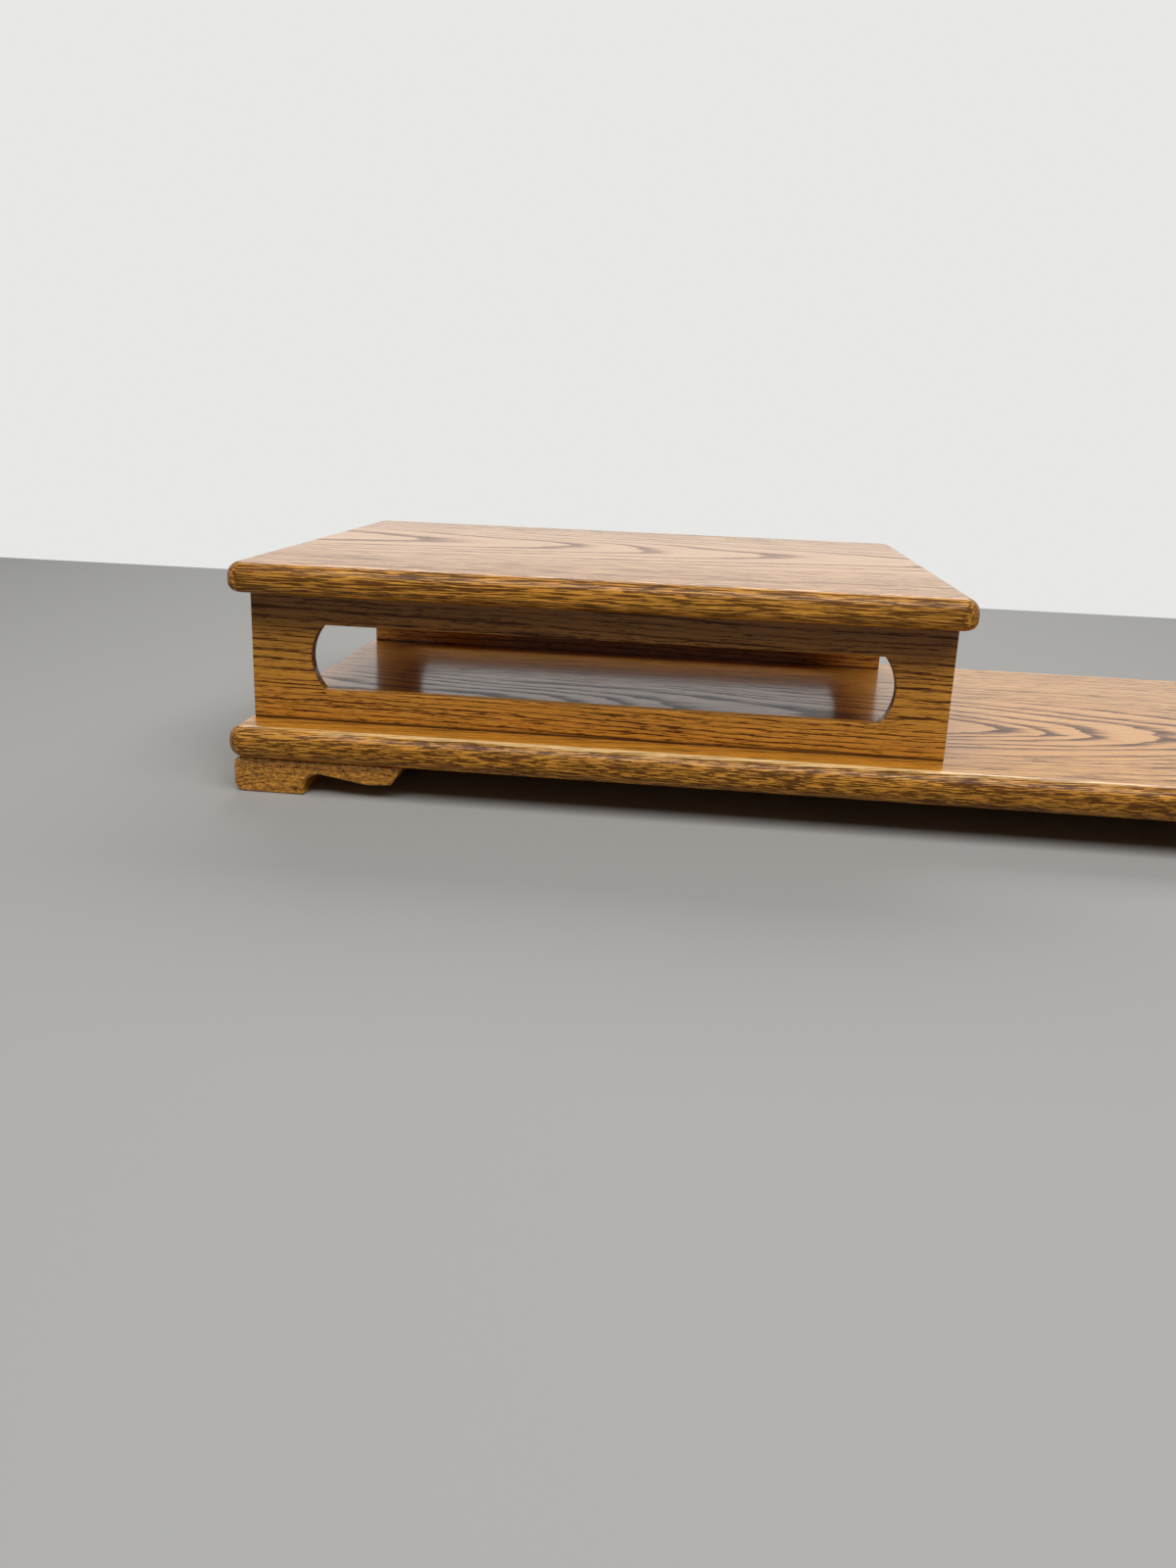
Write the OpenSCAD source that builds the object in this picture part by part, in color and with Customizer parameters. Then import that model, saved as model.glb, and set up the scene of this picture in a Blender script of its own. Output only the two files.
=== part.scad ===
// Two-tier display stand in varnished oak, millimetres, +Z up.
// Origin: on the floor, under the middle of the base board. Front faces -Y, the raised tier is at -X.
// A long base board stands on two scroll-cut runners. Two slotted panels, housed in stopped grooves,
// stand on the base board and carry the raised top board. Both boards have rolled edges all round.

/* [Base board] */
// Length of the base board
base_l = 762; // [600:1:1000]
// Depth of the base board, front to back
base_d = 294; // [220:1:400]
// Thickness of the base board
base_t = 19; // [15:0.5:26]

/* [Board edges] */
// Radius rolled over the top edges of both boards and under the base board
edge_r = 8; // [2:0.5:8]
// Radius rolled under the raised board, which keeps a squarer lower edge
top_under_r = 5.5; // [2:0.5:8]
// Radius of the boards' corners seen from above
corner_r = 10; // [8.5:0.5:20]

/* [Raised tier] */
// Length of the two upright panels
panel_l = 396; // [260:1:500]
// Height of the panels between the boards
panel_h = 77; // [60:1:160]
// Thickness of the panels
panel_t = 7; // [6:0.5:14]
// Distance of the panels' outer ends from the left end of the base board
panel_end_setback = 8; // [7:0.5:60]
// Distance of the front panel's face behind the front edge of the base board
front_setback = 26; // [14:0.5:50]
// Distance of the rear panel's back from the rear edge of the base board
rear_setback = 21; // [14:0.5:50]
// Thickness of the raised top board
top_t = 17; // [15:0.5:26]
// How far the top board reaches past each end of the panels
top_end_overhang = 5; // [0:0.5:40]
// How far the top board reaches in front of the front panel
top_front_overhang = 26; // [10:0.5:50]
// How far the top board reaches behind the rear panel
top_rear_overhang = 21; // [10:0.5:50]

/* [Panel slots] */
// Height of the slot in each panel
slot_h = 38; // [15:0.5:44]
// Radius of the shallow arc at each end of the slot
slot_end_r = 28.5; // [23:0.5:60]
// Wood left under the slot
slot_sill = 19; // [5:0.5:40]
// Wood left between the slot and the panel's left end
slot_left_stile = 35.5; // [15:0.5:60]
// Wood left between the slot and the panel's right end
slot_right_stile = 30; // [15:0.5:60]

/* [Housing joints] */
// How far each panel is let into a board
housing_depth = 6; // [3:0.5:8]
// Wood that hides the end of each groove
housing_shoulder = 8; // [4:0.5:20]
// Clearance beside each face of a panel in its groove
housing_side_gap = 0.1; // [0.05:0.05:0.3]
// Clearance at the ends and at the bottom of a groove
housing_end_gap = 0.5; // [0.2:0.1:1]

/* [Runners] */
// Height of the runners
runner_h = 20.5; // [17:0.5:35]
// Length of the runner's scroll profile, along the base board
runner_w = 99.5; // [94:0.5:130]
// Width of the pad that stands on the floor
pad_w = 41.5; // [28:0.5:44]
// Distance of each runner from the end of the base board
runner_end_inset = 2.5; // [0:0.5:30]
// Distance of the runners from the front and rear edges of the base board
runner_edge_inset = 6; // [0:0.5:12]
// Thickness of the scroll's arm beside the pad, measured to the sharp corner of the outline
neck_t = 6; // [4:0.5:8]
// Thickness of the scroll's arm at its belly
belly_t = 12.3; // [9:0.1:14]
// Thickness of the scroll's arm at its tip
tip_t = 11.1; // [8:0.1:13]
// Distance of the belly from the pad
belly_run = 38; // [25:0.5:39]
// Length of the slanted end of the arm
tip_slant = 6.5; // [2:0.5:10]
// Radius of the hollow beside the pad, as far as the pad's height allows
hollow_r = 9; // [4:0.5:9]
// Rounding of the pad's lower outer corner
pad_r = 6; // [2:0.5:8]
// Rounding of the runner's front and rear edges
runner_round = 1.5; // [0.5:0.5:3]

/* [Screws] */
// Diameter of the screws' shank
screw_d = 4; // [3:0.5:5]
// Length of the screws, head included
screw_l = 25; // [20:1:30]
// Diameter of the screws' countersunk head
screw_head_d = 8; // [7:0.5:10]
// Depth of the head's rim above the floor
screw_recess = 6; // [2:0.5:8]
// Clearance round a screw in its holes, measured on the radius
screw_gap = 0.15; // [0.05:0.05:0.4]

/* [Hidden] */
$fn = 72;

// Colours as seen
OAK_FACE = "#b98a5e";
OAK_PANEL = "#a9743a";
OAK_RUNNER = "#a87a50";
STEEL = "#8d8f92";

// Reach of a cutting shape past the face that it cuts
cut = 1;

// Least height left flat between the two rounds of a board's edge
least_flat = 0.5;

// Places along X
base_left = -base_l / 2;
panel_left = base_left + panel_end_setback;
top_left = panel_left - top_end_overhang;
top_l = panel_l + 2 * top_end_overhang;
runner_left = base_left + runner_end_inset;

// Places along Y
base_front = -base_d / 2;
front_panel_y = base_front + front_setback;
rear_panel_y = -base_front - rear_setback - panel_t;
top_front = front_panel_y - top_front_overhang;
top_d = rear_panel_y + panel_t + top_rear_overhang - top_front;
runner_front = base_front + runner_edge_inset;
runner_d = base_d - 2 * runner_edge_inset;

// Heights
base_top = runner_h + base_t;
top_bottom = base_top + panel_h;

// Panel, with its tongues
panel_full_h = panel_h + 2 * housing_depth;
tongue_l = panel_l - 2 * housing_shoulder;
slot_l = panel_l - slot_left_stile - slot_right_stile;

// Runner profile: the pad's inner side leans, and the small rounds of its outline
pad_lean = 0.5;
top_corner_r = 4;
arris_r = 1.6;
tip_r = 2.5;
belly_r = 24;
pad_corner_r = 1.6;
hollow_limit = 0.8 * (runner_h - neck_t - 2 * pad_corner_r);

// Screws: one near each panel, on its inner side, and one midway; the pilot hole ends past the tip
screw_to_panel = 18;
screw_ys = [front_panel_y + panel_t + screw_to_panel,
            (front_panel_y + rear_panel_y + panel_t) / 2,
            rear_panel_y - screw_to_panel];
head_h = (screw_head_d - screw_d) / 2;
rim_h = 0.6;
point_h = screw_d;
drive_w = 1.1;
drive_l = 0.55 * screw_head_d;
drive_depth = 1.8;

// Arc that rounds corner q of an outline, which comes from p and goes on to s, as steps + 1 points
function unit(v) = v / norm(v);
function corner_arc(p, q, s, r, steps = 10) =
    let (back = unit(p - q),
         onward = unit(s - q),
         half = acos(back * onward) / 2,
         centre = q + unit(back + onward) * r / sin(half),
         start = q + back * r / tan(half) - centre,
         turn = (back[0] * onward[1] > back[1] * onward[0] ? -1 : 1) * (180 - 2 * half))
    [for (i = [0 : steps])
        let (t = turn * i / steps)
        centre + [start[0] * cos(t) - start[1] * sin(t), start[0] * sin(t) + start[1] * cos(t)]];

// Outline through the given corners, each rounded by its own radius
function rounded_outline(corners, radii) =
    let (count = len(corners))
    [for (i = [0 : count - 1])
        each corner_arc(corners[(i + count - 1) % count], corners[i], corners[(i + 1) % count], radii[i])];

// Rectangle with all its corners rounded, in true arcs
module round_rect(w, h, r) {
    translate([r, 0]) square([w - 2 * r, h]);
    translate([0, r]) square([w, h - 2 * r]);
    for (x = [r, w - r], y = [r, h - r]) translate([x, y]) circle(r = r);
}

// Section of a board: one radius over its upper edges and one under its lower edges, in true arcs
module board_section(w, t, over, under) {
    translate([0, under]) square([w, t - over - under]);
    translate([over, under]) square([w - 2 * over, t - under]);
    translate([under, 0]) square([w - 2 * under, t - over]);
    for (x = [over, w - over]) translate([x, t - over]) circle(r = over);
    for (x = [under, w - under]) translate([x, under]) circle(r = under);
}

// Board with rounded corners and with rounds rolled over its top and bottom edges, which stay apart
module rolled_board(l, d, t, under_r) {
    r = corner_r;
    over = min(edge_r, (t - least_flat) / 2);
    under = min(under_r, (t - least_flat) / 2);
    translate([r, 0, 0]) rotate([90, 0, 90]) linear_extrude(l - 2 * r) board_section(d, t, over, under);
    translate([0, d - r, 0]) rotate([90, 0, 0]) linear_extrude(d - 2 * r) board_section(l, t, over, under);
    for (x = [r, l - r], y = [r, d - r]) translate([x, y, 0])
        rotate_extrude() intersection() {
            translate([-r, 0]) board_section(2 * r, t, over, under);
            square([r, t]);
        }
}

// Stopped groove for one panel, its mouth at z = 0 and its depth downwards
module groove(y) {
    depth = housing_depth + housing_end_gap;
    left = panel_left + housing_shoulder - housing_end_gap;
    translate([left, y - housing_side_gap, -depth])
        cube([tongue_l + 2 * housing_end_gap, panel_t + 2 * housing_side_gap, depth + cut]);
}

module grooves() {
    groove(front_panel_y);
    groove(rear_panel_y);
}

// Slot seen from the front, from the panel's lower left corner: straight edges and a shallow arc at each end
module slot() {
    left = slot_left_stile + slot_end_r;
    right = slot_left_stile + slot_l - slot_end_r;
    intersection() {
        translate([0, slot_sill]) square([panel_l, slot_h]);
        union() {
            translate([left, 0]) square([right - left, panel_h]);
            for (x = [left, right]) translate([x, slot_sill + slot_h / 2]) circle(r = slot_end_r);
        }
    }
}

// Upright panel with a tongue along its top and bottom and an arc-ended slot through it
module panel() {
    difference() {
        union() {
            cube([panel_l, panel_t, panel_h]);
            translate([housing_shoulder, 0, -housing_depth]) cube([tongue_l, panel_t, panel_full_h]);
        }
        translate([0, panel_t + cut, 0]) rotate([90, 0, 0]) linear_extrude(panel_t + 2 * cut) slot();
    }
}

// Runner's outline seen from the front: outer end at x = 0, floor at y = 0
module runner_profile() {
    corners = [[0, 0], [0, runner_h], [runner_w, runner_h], [runner_w - tip_slant, runner_h - tip_t],
               [pad_w + belly_run, runner_h - belly_t], [pad_w - pad_lean, runner_h - neck_t], [pad_w, 0]];
    radii = [pad_r, top_corner_r, arris_r, tip_r, belly_r, min(hollow_r, hollow_limit), pad_corner_r];
    polygon(rounded_outline(corners, radii));
}

// Plan of a runner: its two outer corners are rounded
module runner_plan() {
    round_rect(2 * runner_round + 1, runner_d, runner_round);
    translate([runner_round, 0]) square([runner_w, runner_d]);
}

// Side view of a runner: its front and rear edges are rounded above and below
module runner_side() {
    round_rect(runner_d, runner_h, runner_round);
}

// Screw with its head's rim at z = 0 and its point upwards
module screw() {
    difference() {
        rotate_extrude() polygon([[0, 0], [screw_head_d / 2, 0], [screw_head_d / 2, rim_h],
                                  [screw_d / 2, rim_h + head_h], [screw_d / 2, screw_l - point_h],
                                  [0, screw_l]]);
        for (turn = [0, 90]) rotate(turn)
            translate([-drive_l / 2, -drive_w / 2, -cut]) cube([drive_l, drive_w, drive_depth + cut]);
    }
}

// Space for a screw and for the tool that drives it, from under the floor up past the point
module screw_hole() {
    r = screw_d / 2 + screw_gap;
    head_r = screw_head_d / 2 + screw_gap;
    translate([0, 0, -screw_recess - cut]) cylinder(r = head_r, h = screw_recess + cut + rim_h);
    translate([0, 0, rim_h]) cylinder(r1 = head_r, r2 = r, h = head_h);
    cylinder(r = r, h = screw_l + 2 * screw_gap);
}

// Puts a child at each screw of the runner whose outer end is at x = 0, seen from the left
module at_screws() {
    for (y = screw_ys) translate([runner_left + pad_w / 2, y, screw_recess]) children();
}

module both_ends() {
    children();
    mirror([1, 0, 0]) children();
}

module runner() {
    color(OAK_RUNNER) difference() {
        translate([runner_left, runner_front, 0]) intersection() {
            translate([0, runner_d, 0]) rotate([90, 0, 0]) linear_extrude(runner_d) runner_profile();
            linear_extrude(runner_h) runner_plan();
            rotate([90, 0, 90]) linear_extrude(runner_w) runner_side();
        }
        at_screws() screw_hole();
    }
}

module base_board() {
    color(OAK_FACE) difference() {
        translate([base_left, base_front, runner_h]) rolled_board(base_l, base_d, base_t, edge_r);
        translate([0, 0, base_top]) grooves();
        both_ends() at_screws() screw_hole();
    }
}

module top_board() {
    color(OAK_FACE) difference() {
        translate([top_left, top_front, top_bottom]) rolled_board(top_l, top_d, top_t, top_under_r);
        translate([0, 0, top_bottom]) mirror([0, 0, 1]) grooves();
    }
}

module front_panel() {
    color(OAK_PANEL) translate([panel_left, front_panel_y, base_top]) panel();
}

module rear_panel() {
    color(OAK_PANEL) translate([panel_left, rear_panel_y, base_top]) panel();
}

module left_runner() {
    runner();
}

module right_runner() {
    mirror([1, 0, 0]) runner();
}

module runner_screws() {
    color(STEEL) both_ends() at_screws() screw();
}

base_board();
top_board();
front_panel();
rear_panel();
left_runner();
right_runner();
runner_screws();
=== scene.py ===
"""Two-tier display stand in varnished oak: pieces, finishes and photographic stage, in metres."""
import math
from functools import partial
import bmesh
import bpy
from bpy.props import FloatProperty, FloatVectorProperty, PointerProperty
from mathutils import Matrix, Vector


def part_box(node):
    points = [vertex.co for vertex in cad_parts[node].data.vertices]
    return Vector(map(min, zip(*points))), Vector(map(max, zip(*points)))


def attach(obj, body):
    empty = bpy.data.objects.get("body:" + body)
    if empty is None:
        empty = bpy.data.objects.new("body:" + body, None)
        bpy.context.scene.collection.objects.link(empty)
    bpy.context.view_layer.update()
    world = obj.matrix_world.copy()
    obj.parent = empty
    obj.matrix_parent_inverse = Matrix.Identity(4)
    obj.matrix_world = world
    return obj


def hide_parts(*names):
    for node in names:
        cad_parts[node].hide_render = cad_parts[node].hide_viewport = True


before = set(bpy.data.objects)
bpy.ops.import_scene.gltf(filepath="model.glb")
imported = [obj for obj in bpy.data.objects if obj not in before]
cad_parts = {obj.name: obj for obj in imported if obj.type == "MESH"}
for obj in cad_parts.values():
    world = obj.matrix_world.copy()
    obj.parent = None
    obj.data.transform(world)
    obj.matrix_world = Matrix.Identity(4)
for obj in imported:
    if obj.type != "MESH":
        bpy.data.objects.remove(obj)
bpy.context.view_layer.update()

bl_info = {
    "name": "Two-Tier Display Stand",
    "version": (1, 0, 0),
    "blender": (4, 5, 0),
    "location": "View3D > Sidebar > Stand",
    "description": "Makes a low oak display stand with a raised tier on slotted panels",
    "category": "Add Mesh",
}

MM = 0.001
QUARTER = math.pi / 2
# Points closer than this are one point
SAME_POINT = 1e-6
# Height of the straight rim round a screw's head
SCREW_RIM = 0.6 * MM

# Places that the model gives, in metres
BASE_LOW, BASE_HIGH = (Vector(c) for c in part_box("base_board"))
TIER_LOW, TIER_HIGH = (Vector(c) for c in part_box("top_board"))
FRONT_LOW, FRONT_HIGH = (Vector(c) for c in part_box("front_panel"))
REAR_LOW, REAR_HIGH = (Vector(c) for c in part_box("rear_panel"))
RUNNER_LOW, RUNNER_HIGH = (Vector(c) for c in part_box("left_runner"))
SCREWS_LOW, SCREWS_HIGH = (Vector(c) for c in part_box("runner_screws"))


def linear(code):
    """Turns an sRGB hex colour into linear red, green, blue and alpha."""
    parts = [int(code[i:i + 2], 16) / 255 for i in (1, 3, 5)]
    return (*(p / 12.92 if p <= 0.04045 else ((p + 0.055) / 1.055) ** 2.4 for p in parts), 1.0)


def length_setting(name, description, default, low, high):
    """A length that the user can change, from values in mm."""
    return FloatProperty(name=name, description=description, default=default * MM, min=low * MM,
                         max=high * MM, unit="LENGTH", subtype="DISTANCE")


def colour_setting(name, description, code):
    """A colour that the user can change, from an sRGB hex value."""
    return FloatVectorProperty(name=name, description=description, default=linear(code), min=0, max=1,
                               size=4, subtype="COLOR")


class StandBoards(bpy.types.PropertyGroup):
    edge_radius: length_setting("Edge Radius", "Round rolled over the boards' edges", 8, 2, 8)
    under_radius: length_setting("Lower Edge Radius", "Round rolled under the raised board", 5.5, 2, 8)
    corner_radius: length_setting("Corner Radius", "Round of the boards' corners seen from above", 10, 8.5, 40)


class StandPanels(bpy.types.PropertyGroup):
    tongue: length_setting("Tongue", "How far each panel is let into a board", 6, 3, 8)
    shoulder: length_setting("Shoulder", "Wood that hides the end of each groove", 8, 4, 20)
    slot_height: length_setting("Slot Height", "Height of the slot", 38, 15, 44)
    slot_end: length_setting("Slot End Radius", "Radius of the shallow arc at each end of the slot", 28.5, 23, 60)
    slot_sill: length_setting("Slot Sill", "Wood left under the slot", 19, 5, 40)
    left_stile: length_setting("Left Stile", "Wood between the slot and the panel's left end", 35.5, 15, 60)
    right_stile: length_setting("Right Stile", "Wood between the slot and the panel's right end", 30, 15, 60)
    arris: length_setting("Arris", "Rounding left by sandpaper along the sharp edges", 0.6, 0.1, 2)


class StandRunners(bpy.types.PropertyGroup):
    length: length_setting("Length", "Length of the scroll profile, along the base board", 99.5, 94, 130)
    pad_width: length_setting("Pad Width", "Width of the pad that stands on the floor", 41.5, 28, 44)
    neck: length_setting("Neck", "Thickness of the scroll's arm beside the pad", 6, 4, 8)
    belly: length_setting("Belly", "Thickness of the scroll's arm at its belly", 12.3, 9, 14)
    tip: length_setting("Tip", "Thickness of the scroll's arm at its tip", 11.1, 8, 13)
    pad_radius: length_setting("Pad Radius", "Rounding of the pad's lower outer corner", 6, 2, 8)
    rounding: length_setting("Rounding", "Rounding of the front and rear edges", 1.5, 0.5, 1.5)


class StandScrews(bpy.types.PropertyGroup):
    shank: length_setting("Shank", "Outer diameter of the screws' thread", 4, 3, 5)
    head: length_setting("Head", "Diameter of the countersunk head", 8, 7, 10)
    pitch: length_setting("Pitch", "Distance between the turns of the thread", 1.8, 1, 3)


class StandOak(bpy.types.PropertyGroup):
    latewood: colour_setting("Latewood", "Pale dense wood between the growth rings' pores", "#DE972C")
    earlywood: colour_setting("Earlywood", "Porous wood at the start of each growth ring", "#824510")
    pore: colour_setting("Pore", "Stain gathered in the open pores", "#432006")


class StandStage(bpy.types.PropertyGroup):
    floor: colour_setting("Floor", "Colour of the floor", "#ADACA9")
    backdrop: colour_setting("Backdrop", "Colour behind the floor", "#E7E8E6")
    key: FloatProperty(name="Key Light", description="Power of the large soft lamp", default=25,
                       min=0, max=200, unit="POWER")
    rear: FloatProperty(name="Rear Light", description="Power of the soft lamp above and behind", default=20,
                        min=0, max=200, unit="POWER")
    ambient: FloatProperty(name="Ambient", description="Strength of the even light from all round", default=0.045,
                           min=0, max=2)


SETTINGS = {"stand_boards": StandBoards, "stand_panels": StandPanels, "stand_runners": StandRunners,
            "stand_screws": StandScrews, "stand_oak": StandOak, "stand_stage": StandStage}


def add_node(tree, kind, inputs=None, **settings):
    """Adds a node with its settings. inputs maps sockets to values, to what feeds them or to lists of feeds."""
    made = tree.nodes.new(kind)
    for key, value in settings.items():
        setattr(made, key, value)
    for key, value in (inputs or {}).items():
        for feed in value if isinstance(value, list) else [value]:
            if isinstance(feed, bpy.types.Node):
                feed = feed.outputs[0]
            if isinstance(feed, bpy.types.NodeSocket):
                tree.links.new(feed, made.inputs[key])
            else:
                made.inputs[key].default_value = feed
    return made


def new_group(name, kind, inputs, outputs):
    """Starts a node group whose sockets' names are listed by type. Returns it, add_node for it and its inputs."""
    tree = bpy.data.node_groups.new(name, kind)
    for in_out, sockets in (("INPUT", inputs), ("OUTPUT", outputs)):
        for socket_type, labels in sockets.items():
            for label in labels:
                tree.interface.new_socket(name=label, in_out=in_out, socket_type="NodeSocket" + socket_type)
    return tree, partial(add_node, tree), tree.nodes.new("NodeGroupInput").outputs


def emptied(owner):
    """Clears the nodes that a new material or world starts with. Returns add_node for its tree."""
    owner.use_nodes = True
    owner.node_tree.nodes.clear()
    return partial(add_node, owner.node_tree)


# Sockets of a Mix node that mixes colours
MIX_SHARE, MIX_FROM, MIX_TO, MIXED = 0, 6, 7, 2

# Sizes of the oak's figure in mm, along the grain and across it. Real vessels are 0.2 to 0.4 mm wide and would
# vanish in a picture of the whole stand, so their dashes are drawn two to three times too wide, and up to four
# times on the runners.
CLUMP = (60.0, 6.0, 6.0)
SLOW_WANDER = (240.0, 75.0, 75.0)
QUICK_WANDER = (42.0, 10.0, 10.0)
CLOUD = (130.0, 38.0, 38.0)
# Levels of noise that hardly any wood passes and that nearly all of it passes, and the softness of a dash's edge
RARE, COMMON, DASH_EDGE = 0.72, 0.28, 0.045
# Share of a year in which the first vessels open
ONSET = 0.05


def oak_figure():
    """Growth rings round the tree's pith, in mm: X along the tree, Y across it and Z up from the pith."""
    tree, add, ask = new_group(
        "oak figure", "ShaderNodeTree",
        {"Vector": ["Place", "Streak", "Dash", "Fibre Size"],
         "Float": ["Ring Width", "Taper", "Wander", "Ripple", "Band", "Filling", "Strays", "Dashes", "Fine",
                   "Edge Fade", "Fibre Contrast"]},
        {"Float": ["Earlywood", "Vessels", "Fibre", "Cloud"]})
    place = ask["Place"]

    def stretched(cell, detail, shift):
        """Noise whose lumps have about this size in mm."""
        cells = add("ShaderNodeVectorMath", {0: place, 1: cell}, operation="DIVIDE")
        cells = add("ShaderNodeVectorMath", {0: cells, 1: (shift, shift, shift)}, operation="ADD")
        return add("ShaderNodeTexNoise", {"Vector": cells, "Scale": 1.0, "Detail": detail, "Roughness": 0.55})

    def broken(cell, cover, shift):
        """Ragged dashes that cover about this share of the wood."""
        edge = add("ShaderNodeMapRange", {"Value": cover, "To Min": RARE, "To Max": COMMON})
        full = add("ShaderNodeMath", {0: edge, 1: DASH_EDGE}, operation="ADD")
        return add("ShaderNodeMapRange", {"Value": stretched(cell, 2.0, shift), "From Min": edge,
                                          "From Max": full}, interpolation_type="SMOOTHSTEP")

    # The trunk was never quite straight: its rings wander slowly, and a little faster on a small scale. Noise
    # keeps near the middle of its range, so it is drawn out
    wander_reach, fibre_reach = 4.0, 5.0
    slow = stretched(SLOW_WANDER, 1.0, 3.7).outputs["Color"]
    centred = add("ShaderNodeVectorMath", {0: slow, 1: (0.5, 0.5, 0.5)}, operation="SUBTRACT")
    span = add("ShaderNodeMath", {0: ask["Wander"], 1: wander_reach}, operation="MULTIPLY")
    moved = add("ShaderNodeVectorMath", {0: centred, "Scale": span}, operation="SCALE")
    bent = add("ShaderNodeVectorMath", {0: place, 1: moved}, operation="ADD")
    along = add("ShaderNodeSeparateXYZ", {0: place}).outputs["X"]
    split = add("ShaderNodeSeparateXYZ", {0: bent}).outputs
    flat = add("ShaderNodeCombineXYZ", {"Y": split["Y"], "Z": split["Z"]})
    radius = add("ShaderNodeVectorMath", {0: flat}, operation="LENGTH").outputs["Value"]
    grown = add("ShaderNodeMath", {0: along, 1: ask["Taper"], 2: radius}, operation="MULTIPLY_ADD")
    quick = stretched(QUICK_WANDER, 2.0, 11.3)
    ragged = add("ShaderNodeMath", {0: quick, 1: ask["Ripple"], 2: grown}, operation="MULTIPLY_ADD")
    years = add("ShaderNodeMath", {0: ragged, 1: ask["Ring Width"]}, operation="DIVIDE")
    # Wet and dry years come in runs of four or so, and the rings' widths vary with them
    per_year, swing = 0.23, 2.6
    weather = add("ShaderNodeTexNoise", {"W": years, "Scale": per_year, "Detail": 1.0}, noise_dimensions="1D")
    years = add("ShaderNodeMath", {0: weather, 1: swing, 2: years}, operation="MULTIPLY_ADD")
    year = add("ShaderNodeMath", {0: years}, operation="FLOOR")
    season = add("ShaderNodeMath", {0: years}, operation="FRACT")
    luck = add("ShaderNodeTexWhiteNoise", {"W": year}, noise_dimensions="1D")

    # Each ring starts at a sharp line of its largest vessels and thins out raggedly towards its latewood
    share = add("ShaderNodeMapRange", {"Value": luck, "To Min": 0.7, "To Max": 1.3})
    late_start = add("ShaderNodeMath", {0: share, 1: ask["Band"]}, operation="MULTIPLY")
    spring = add("ShaderNodeMapRange", {"Value": season, "From Min": ONSET, "From Max": late_start,
                                        "To Min": 1.0, "To Max": 0.0}, interpolation_type="SMOOTHSTEP")
    onset = add("ShaderNodeMapRange", {"Value": season, "From Max": ONSET})
    earlywood = add("ShaderNodeMath", {0: spring, 1: onset}, operation="MULTIPLY")
    # Far from the tree's heart the saw runs along the rays: fainter rings and more fine vessels
    aside = add("ShaderNodeMath", {0: split["Y"], 1: radius}, operation="DIVIDE")
    aside = add("ShaderNodeMath", {0: aside}, operation="ABSOLUTE")
    aside = add("ShaderNodeMapRange", {"Value": aside, "From Min": 0.15, "From Max": 0.6},
                interpolation_type="SMOOTHSTEP")
    faded = add("ShaderNodeMath", {0: aside, 1: ask["Edge Fade"]}, operation="MULTIPLY")
    kept = add("ShaderNodeMath", {0: 1.0, 1: faded}, operation="SUBTRACT")
    earlywood = add("ShaderNodeMath", {0: earlywood, 1: kept}, operation="MULTIPLY")

    # Vessels are long tubes, so they show as ragged streaks along the grain and as dots on the end grain. They
    # stand in clumps, the large ones more so
    large_clumping, small_clumping, small_depth = 0.9, 0.3, 0.95
    clump = add("ShaderNodeMath", {0: stretched(CLUMP, 1.0, 23.9), 1: 0.5}, operation="SUBTRACT")
    cover = add("ShaderNodeMapRange", {"Value": earlywood, "To Min": ask["Strays"], "To Max": ask["Filling"]})
    cover = add("ShaderNodeMath", {0: clump, 1: large_clumping, 2: cover}, operation="MULTIPLY_ADD")
    large = broken(ask["Streak"], cover, 5.1)
    cover = add("ShaderNodeMapRange", {"Value": aside, "To Min": ask["Fine"], "To Max": ask["Dashes"]})
    cover = add("ShaderNodeMath", {0: clump, 1: small_clumping, 2: cover}, operation="MULTIPLY_ADD")
    small = broken(ask["Dash"], cover, 19.3)
    small = add("ShaderNodeMath", {0: small, 1: small_depth}, operation="MULTIPLY")
    vessels = add("ShaderNodeMath", {0: large, 1: small}, operation="MAXIMUM")
    # Lighter and darker fibres, as a factor round 1 on the wood's colour
    spread = add("ShaderNodeMath", {0: ask["Fibre Contrast"], 1: fibre_reach}, operation="MULTIPLY")
    least = add("ShaderNodeMath", {0: spread, 1: -0.5, 2: 1.0}, operation="MULTIPLY_ADD")
    fibre = add("ShaderNodeMath", {0: stretched(ask["Fibre Size"], 2.0, 57.1), 1: spread, 2: least},
                operation="MULTIPLY_ADD")
    add("NodeGroupOutput", {"Earlywood": earlywood, "Vessels": vessels, "Fibre": fibre,
                            "Cloud": stretched(CLOUD, 2.0, 71.4)})
    return tree


# Values of the roll attribute, the upward part of a face's direction, on a rolled edge and on a flat top
ROLLED, FLAT = 0.9, 0.999
# How much stain the vessels hold, and how much less under the painted highlight along the base's front edge
PORE_STAIN, HIGHLIGHT_PORE_CLEARING = 0.9, 0.6


def within(add, share, ramps):
    """Multiplies a share by ramps: what each follows, where it starts and ends, and its values there."""
    for follows, start, end, first, last in ramps:
        ramp = add("ShaderNodeMapRange", {"Value": follows, "From Min": start, "From Max": end,
                                          "To Min": first, "To Max": last})
        share = add("ShaderNodeMath", {0: share, 1: ramp}, operation="MULTIPLY")
    return share


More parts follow.
